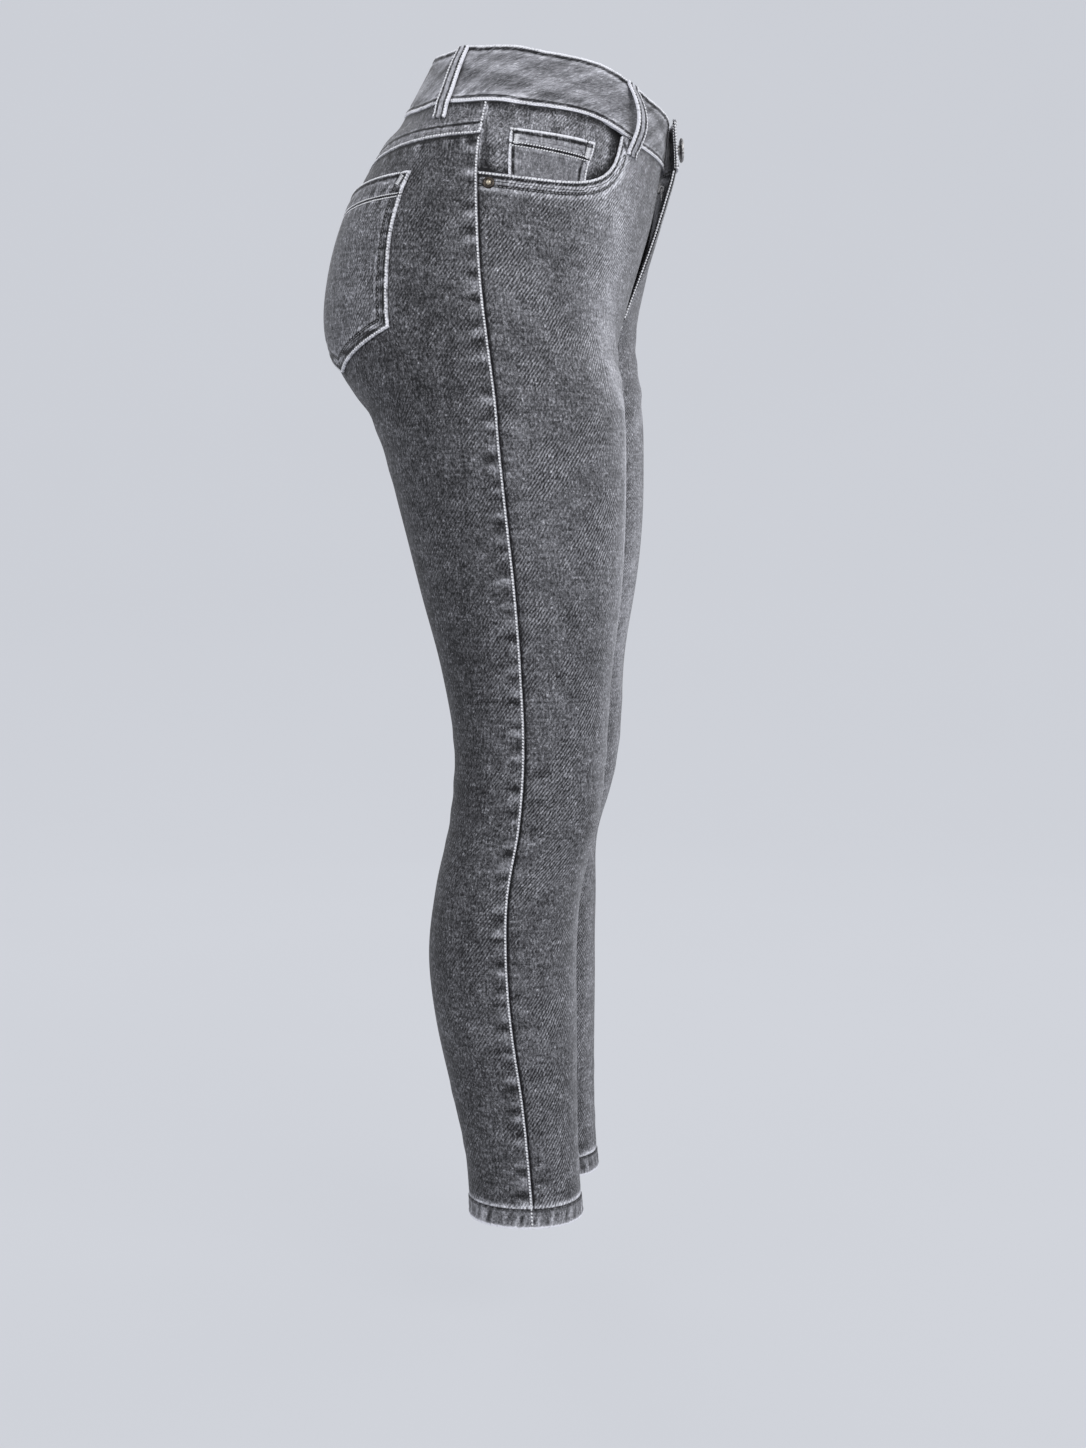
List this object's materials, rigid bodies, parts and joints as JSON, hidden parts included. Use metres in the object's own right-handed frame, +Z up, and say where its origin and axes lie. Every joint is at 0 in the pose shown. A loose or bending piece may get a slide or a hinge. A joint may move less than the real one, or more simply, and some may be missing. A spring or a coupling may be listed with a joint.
{
  "type": "skinny jeans",
  "caption": "High-rise skinny jeans in washed denim, empty and in the shape they take when worn, with a zip fly, patch pockets and belt loops.",
  "frame": {"origin": "middle of the waist opening, at its top edge by the side seams", "axes": "+Z up, the front faces -Y, the wearer's right side is at -X"},
  "size_m": [0.3488, 0.2826, 0.916],
  "materials": {
    "denim": "stone-washed mid-grey twill with marbled pale flecks",
    "worn_denim": "the same twill, washed paler",
    "metal": "aged, dull metal",
    "zip_tape": "black woven zip tape with dark metal teeth"
  },
  "bodies": {
    "jeans": {"back_left": "denim", "back_pocket_left": "denim", "back_pocket_right": "denim", "back_right": "denim", "belt_loop_back": "worn_denim", "belt_loop_front_left": "worn_denim", "belt_loop_front_right": "worn_denim", "belt_loop_side_left": "worn_denim", "belt_loop_side_right": "worn_denim", "button": "metal", "coin_pocket": "worn_denim", "fly_shield": "denim", "front_left": "denim", "front_right": "denim", "hem_left": "denim", "hem_right": "denim", "pocket_facing_left": "denim", "pocket_facing_right": "denim", "rivet_left": "metal", "rivet_right": "metal", "waistband": "worn_denim", "yoke_left": "denim", "yoke_right": "denim", "zip_slider": "metal", "zip_tape": "zip_tape"},
    "pull": {"zip_pull": "metal"}
  },
  "joints": [
    {"name": "zip_pull_swing", "type": "hinge", "parent": "jeans", "child": "pull", "pos_m": [0.0002, -0.0931, -0.0832], "axis": [-1, 0, 0], "range_deg": [-8, 3]}
  ]
}
